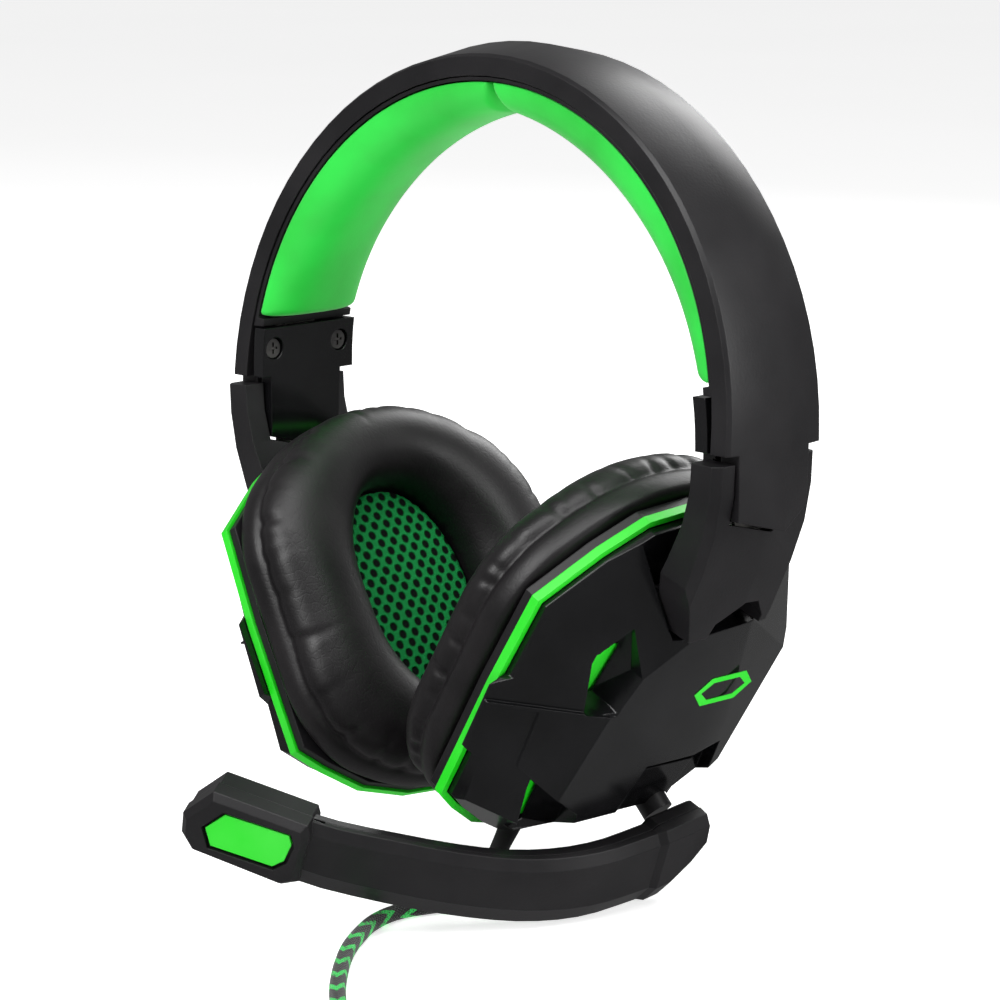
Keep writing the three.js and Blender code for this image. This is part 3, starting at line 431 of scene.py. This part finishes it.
# ---------- carried-over CAD nodes ----------
FINISHES = {
    "headband_outer_shell": MATTE, "headband_inner_shell": MATTE, "spring_band": STEEL,
    "end_cover": GLOSS, "end_screw_front": DARK_SCREW, "end_screw_rear": DARK_SCREW, "slider_strip": STEEL,
    "yoke": MATTE, "outer_cup": GLOSS, "accent_insert": GREEN, "ring_trim": GREEN, "back_plate": MATTE,
    "driver": STEEL, "pivot_pin_front": STEEL, "pivot_pin_rear": STEEL, "wiring_board": BOARD,
    "mic_boom_outer_half": MATTE, "mic_boom_inner_half": MATTE, "mic_panel": GREEN, "mic_capsule": STEEL,
    "boom_pivot_shaft": MATTE, "boom_pivot_washer": STEEL, "boom_pivot_screw": DARK_SCREW,
    "strain_relief": RUBBER, "cable_tie": RUBBER, "plug_body": RUBBER, "plug_pin": STEEL,
}
CREASE_ANGLE = math.radians(20)
WELD_DISTANCE = 0.01 * MM


def smooth_rounds():
    """A modifier's node group that shades round stretches smooth and keeps creases sharp.

    It works on the modifier's copy, so a CAD node's own mesh stays as it was imported.
    """
    group = bpy.data.node_groups.new("smooth_rounds", "GeometryNodeTree")
    group.is_modifier = True
    group.interface.new_socket("Geometry", in_out="INPUT", socket_type="NodeSocketGeometry")
    group.interface.new_socket("Geometry", in_out="OUTPUT", socket_type="NodeSocketGeometry")
    new, link = group.nodes.new, group.links.new
    source, result = new("NodeGroupInput"), new("NodeGroupOutput")
    drop = new("GeometryNodeRemoveAttribute")
    drop.inputs["Name"].default_value = "custom_normal"
    weld = new("GeometryNodeMergeByDistance")
    weld.inputs["Distance"].default_value = WELD_DISTANCE
    smooth = new("GeometryNodeSetShadeSmooth")
    smooth.inputs["Shade Smooth"].default_value = True
    angle = new("GeometryNodeInputMeshEdgeAngle")
    sharp = new("FunctionNodeCompare")
    sharp.data_type, sharp.operation = "FLOAT", "GREATER_THAN"
    sharp.inputs["B"].default_value = CREASE_ANGLE
    split = new("GeometryNodeSplitEdges")
    link(source.outputs[0], drop.inputs["Geometry"])
    link(drop.outputs[0], weld.inputs["Geometry"])
    link(weld.outputs[0], smooth.inputs["Geometry"])
    link(angle.outputs["Unsigned Angle"], sharp.inputs["A"])
    link(smooth.outputs[0], split.inputs["Mesh"])
    link(sharp.outputs[0], split.inputs["Selection"])
    link(split.outputs[0], result.inputs[0])
    return group


def finish_cad_nodes():
    rounds = smooth_rounds()
    for name, obj in nodes.items():
        side, _, rest = name.partition("_")
        key = rest if side in ("left", "right") else name
        if key in FINISHES:
            obj.material_slots[0].material = FINISHES[key]
            obj.modifiers.new("smooth_rounds", "NODES").node_group = rounds


finish_cad_nodes()


# ---------- soft pieces ----------
CUP_ORIGIN = Vector((42.9, 0, 62.9)) + OFFSET
CUP_V = Vector((0.493942, 0, 0.869495))
CUP_W = Vector((0.869495, 0, -0.493942))
RING_MID = 1.5


def cup_point(side, u, v, w):
    """A point of a cup, in mm: u to the rear, v up the ring, w outwards from it."""
    p = CUP_ORIGIN + Vector((0, 1, 0)) * (u + RING_MID) + CUP_V * v + CUP_W * w
    return Vector((p.x * side, p.y, p.z)) * MM


def hashed(i, seed):
    """A fixed number from 0 to 1 for each whole number."""
    x = math.sin(i * 127.1 + seed * 311.7) * 43758.5453
    return x - math.floor(x)


def superellipse(angle, half_u, half_v, power):
    c, s = math.cos(angle), math.sin(angle)
    reach = (abs(c / half_u) ** power + abs(s / half_v) ** power) ** (-1 / power)
    return reach * c, reach * s


def puffed(name, verts, faces, held, pressure, cap):
    """Positions after air pressure has filled the cover; held is what stays where it is."""
    obj = new_object(name, verts, faces)
    group = obj.vertex_groups.new(name="held")
    group.add(held, 1.0, "REPLACE")
    cloth = obj.modifiers.new("fill", "CLOTH")
    cloth.settings.quality = 5
    cloth.settings.mass = 0.3
    cloth.settings.vertex_group_mass = "held"
    cloth.settings.use_pressure = True
    cloth.settings.uniform_pressure_force = pressure
    cloth.settings.effector_weights.gravity = 0
    for f in range(1, 21):
        scene.frame_set(f)
    moved = obj.evaluated_get(bpy.context.evaluated_depsgraph_get()).data.vertices
    out = []
    for old, new in zip(verts, moved):
        step = new.co - old
        if step.length > cap:
            step *= cap / step.length
        out.append(old + step)
    scene.frame_set(1)
    bpy.data.objects.remove(obj)
    return out


# The ring's outline, front half from the top down, (u, v) in mm.
RING_FRONT = [
    (-16, 48.8), (-29.4, 41.6), (-45.8, 29.5), (-48.3, 3), (-49.5, -33), (-42.6, -39.1), (-32, -46.6),
    (-17.5, -51),
]
RING = [(1.5, 50.6), *RING_FRONT, (1.5, -52.3), *((3 - u, v) for u, v in reversed(RING_FRONT))]
# How far from the outer outline (0) to the opening (1), and the depth: roll, seam, pillow, opening.
CUSHION = [
    (0.05, 0.0), (0.012, 0.06), (0.0, 0.15), (0.0, 0.27), (0.02, 0.36), (0.055, 0.4), (0.045, 0.44),
    (0.015, 0.53), (0.02, 0.64), (0.07, 0.77), (0.17, 0.88), (0.31, 0.96), (0.5, 0.995), (0.68, 0.96),
    (0.82, 0.86), (0.93, 0.7), (0.985, 0.5), (0.99, 0.3), (0.98, 0.1), (0.97, 0.0),
]
SEAM = 0.4
AROUND = 288


def ring_distance(angle):
    """From the middle of the ring to its outline at an angle."""
    c, s = math.cos(angle), math.sin(angle)
    for (pu, pv), (qu, qv) in zip(RING, RING[1:] + RING[:1]):
        du, dv = qu - pu, qv - pv
        across = c * dv - s * du
        if abs(across) < 1e-9:
            continue
        t = (s * (pu - RING_MID) - c * pv) / across
        if 0 <= t <= 1:
            reach = ((pu - RING_MID) * dv - pv * du) / across
            if reach > 0:
                return reach
    raise ValueError("the outline is not closed")


def cushion_reach(angle):
    nearby = [ring_distance(angle + 0.06 * k) for k in range(-4, 5)]
    return sum(nearby) / 9 + 1.0 + 1.6 * max(0.0, math.sin(angle))


def pressed_depth(v):
    """The deepest that a cushion goes at a height, where it presses on the other ear's."""
    return (0.6 - 42.9 - v * 0.493942) / 0.869495


def crease(angle, depth, seed):
    """Radial gathers that start at the seam and die out over the crown, in mm inwards."""
    total = 0.0
    for i in range(40):
        centre = 2 * math.pi * (i + 0.8 * hashed(i, seed)) / 40
        bend = (hashed(i, seed + 1) - 0.5) * 0.3 * (depth - 0.4)
        away = (angle - centre - bend + math.pi) % (2 * math.pi) - math.pi
        width = 0.014 + 0.024 * hashed(i, seed + 2)
        reach = 0.25 + 0.4 * hashed(i, seed + 3)
        fade = max(0.0, 1 - ((depth - SEAM) / reach) ** 2) if depth > SEAM else 0.0
        total += (0.5 + 1.2 * hashed(i, seed + 4) ** 2) * fade * math.exp(-((away / width) ** 2))
    return total


def ear_cushions():
    """A plain roll against the cup, a sewn seam, and a gathered pillow that air pressure fills."""
    shrink, rows = 0.7, []
    for i in range(AROUND):
        angle = 2 * math.pi * i / AROUND
        reach = cushion_reach(angle) - shrink
        u1, v1 = superellipse(angle, 21.8, 30.8, 2.2)
        for t, d in CUSHION:
            u, v = reach * math.cos(angle) * (1 - t) + u1 * t, reach * math.sin(angle) * (1 - t) + v1 * t
            rows.append((u, v, max(-3.7 - (21.5 - shrink) * d, pressed_depth(v) + shrink), angle, t, d))
    faces = strip_faces(AROUND, len(CUSHION), round_rows=True, round_cols=True)
    start = [Vector(r[:3]) * MM for r in rows]
    held = [i for i, r in enumerate(rows) if r[5] in (0.0, SEAM)]
    full = puffed("cushion_fill", start, faces, held, 4, 1.2 * MM)
    for side, sign in SIDES:
        verts = []
        for p, (u, v, w, angle, t, d) in zip(full, rows):
            p = p / MM
            if t < 0.6:
                inward = Vector((-u, -v, 0)).normalized() * (1 - t) + Vector((0, 0, 1)) * t
                p += inward * crease(angle, d, 3 if sign > 0 else 11) * min(1.0, (0.6 - t) / 0.3)
            p.z = max(p.z, pressed_depth(p.y))
            verts.append(cup_point(sign, *p))
        obj = new_object(f"{side}_leather_cushion", verts, faces, LEATHER, f"{side}_cup")
        obj.modifiers.new("round", "SUBSURF").levels = 1
        obj.modifiers["round"].render_levels = 1
        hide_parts(f"{side}_ear_cushion")


ear_cushions()


def speaker_cloths():
    """A tight, slightly domed disc of spacer fabric across each cushion's opening."""
    rings, cols = 16, 72
    for side, sign in SIDES:
        verts, uvs = [], []
        for w0, flip in ((-8.6, 1), (-8.0, -1)):
            for i in range(rings + 1):
                r = i / rings if flip > 0 else 1 - i / rings
                for j in range(cols):
                    u, v = superellipse(2 * math.pi * j / cols, 21.2, 30.2, 2.2)
                    dome = -1.2 * (1 - r * r)
                    verts.append(cup_point(sign, u * max(r, 0.004), v * max(r, 0.004), w0 + dome))
                    uvs.append((u * r * MM, v * r * MM))
        faces = strip_faces(2 * (rings + 1), cols, round_rows=False, round_cols=True)
        faces.append(tuple(range(cols)))
        faces.append(tuple(range(len(verts) - cols, len(verts))))
        obj = new_object(f"{side}_mesh_cloth", verts, faces, CLOTH, f"{side}_cup", uvs)
        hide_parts(f"{side}_speaker_cloth")


speaker_cloths()

BAND_CENTRE_Z = 124.5


def band_point(sign, angle, radius, across):
    t = max(0.0, (BAND_CENTRE_Z + 91.3 * math.sin(angle) - 123.2) / 92.6)
    half = 17.6 + (14.6 - 17.6) * t
    y = 4.6 + (9.9 - 4.6) * t + across * half
    p = Vector((sign * radius * math.cos(angle), y, BAND_CENTRE_Z + radius * math.sin(angle))) + OFFSET
    return p * MM


def end_round(t):
    """Rounds a pad off over the last few millimetres of its length of about 120 mm."""
    return min(1.0, (t * 120 + 0.4) / 3.2)


def head_pads():
    """Long crowned crescents on the inside of the band, thickest above the temples."""
    rows, cols = 90, 26
    first, last = math.radians(10.5), math.pi / 2 - 0.45 / 84
    for side, sign in SIDES:
        verts, held = [], []
        for i in range(rows):
            t = i / (rows - 1)
            ends = (end_round(t) * end_round(1 - t)) ** 0.5
            thick = (2.8 + 9.8 * math.sin(math.pi * (0.12 + 0.74 * t)) ** 0.7) * ends
            for j in range(cols):
                a = 2 * math.pi * j / cols
                across = 0.955 * math.copysign(abs(math.cos(a)) ** 0.75, math.cos(a))
                rise = max(0.0, math.sin(a)) ** 0.8
                verts.append(band_point(sign, first + (last - first) * t, 83.9 - thick * rise, across))
                if math.sin(a) <= 1e-6:
                    held.append(i * cols + j)
        faces = strip_faces(rows, cols, round_cols=True)
        faces += [tuple(range(cols)), tuple(range((rows - 1) * cols, rows * cols))]
        verts = puffed("pad_fill", verts, faces, held, 3, 0.5 * MM)
        obj = new_object(f"{side}_pad", verts, faces, PAD, "headband")
        obj.modifiers.new("round", "SUBSURF").levels = 1
        obj.modifiers["round"].render_levels = 1
        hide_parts(f"head_pad_{side}")


head_pads()

# ---------- printed mark ----------
MARK_PLACE = (20.0, 2.0)


def printed_mark():
    """A plain long hexagon outline printed on the outer face of each cup."""
    outline = [(-11, 0), (-6.5, -4.6), (6.5, -4.6), (11, 0), (6.5, 4.6), (-6.5, 4.6)]
    for side, sign in SIDES:
        verts = []
        for w in (20.02, 20.14):
            for scale in (1.0, 0.76):
                for u, v in outline:
                    y = v * (scale if scale == 1 else 0.62)
                    verts.append(cup_point(sign, MARK_PLACE[0] - RING_MID + u * scale, MARK_PLACE[1] + y, w))
        faces = []
        for k in range(6):
            n = (k + 1) % 6
            faces += [(k, n, 6 + n, 6 + k), (12 + k, 18 + k, 18 + n, 12 + n)]
            faces += [(k, 12 + k, 12 + n, n), (6 + k, 6 + n, 18 + n, 18 + k)]
        obj = new_object(f"{side}_mark", verts, faces, GREEN, f"{side}_cup")
        obj.data.shade_flat()


printed_mark()


# ---------- floor and lights ----------
def floor():
    verts = [(-9, -9, 0), (9, -9, 0), (9, 9, 0), (-9, 9, 0)]
    n = Nodes("floor_paper")
    n.finish(
        Base_Color=n.mix(n.span(n.noise(3, 2), 0.3, 0.7), rgb("f4f4f4"), rgb("f8f8f8")),
        Roughness=0.9,
        Emission_Color=(1, 1, 1, 1),
        Emission_Strength=0.66,
    )
    obj = new_object("floor", [Vector(v) for v in verts], [(0, 1, 2, 3)], n.material)
    obj.visible_glossy = False


def softbox(name, azimuth, elevation, distance, size, power):
    """A rectangular area light, placed by its bearing from the camera's own, aimed at the headset."""
    data = bpy.data.lights.new(name, "AREA")
    data.shape = "RECTANGLE"
    data.size, data.size_y = size
    data.energy = power
    obj = bpy.data.objects.new(name, data)
    a, e = math.radians(azimuth - 45), math.radians(elevation)
    away = Vector((math.cos(a) * math.cos(e), math.sin(a) * math.cos(e), math.sin(e)))
    obj.location = TARGET + away * distance
    obj.rotation_euler = (-away).to_track_quat("-Z", "Y").to_euler()
    scene.collection.objects.link(obj)


floor()
softbox("key", -45, 38, 1.2, (0.55, 0.55), 9)
softbox("fill", 64, 22, 1.3, (0.35, 0.9), 6)
softbox("top", 10, 66, 1.1, (0.9, 0.5), 8)
softbox("rim", 150, 30, 1.3, (0.5, 0.8), 8)
world = bpy.data.worlds.new("studio")
world.use_nodes = True
world.node_tree.nodes["Background"].inputs["Color"].default_value = (1, 1, 1, 1)
world.node_tree.nodes["Background"].inputs["Strength"].default_value = 0.22
scene.world = world
scene.view_settings.view_transform = "Standard"
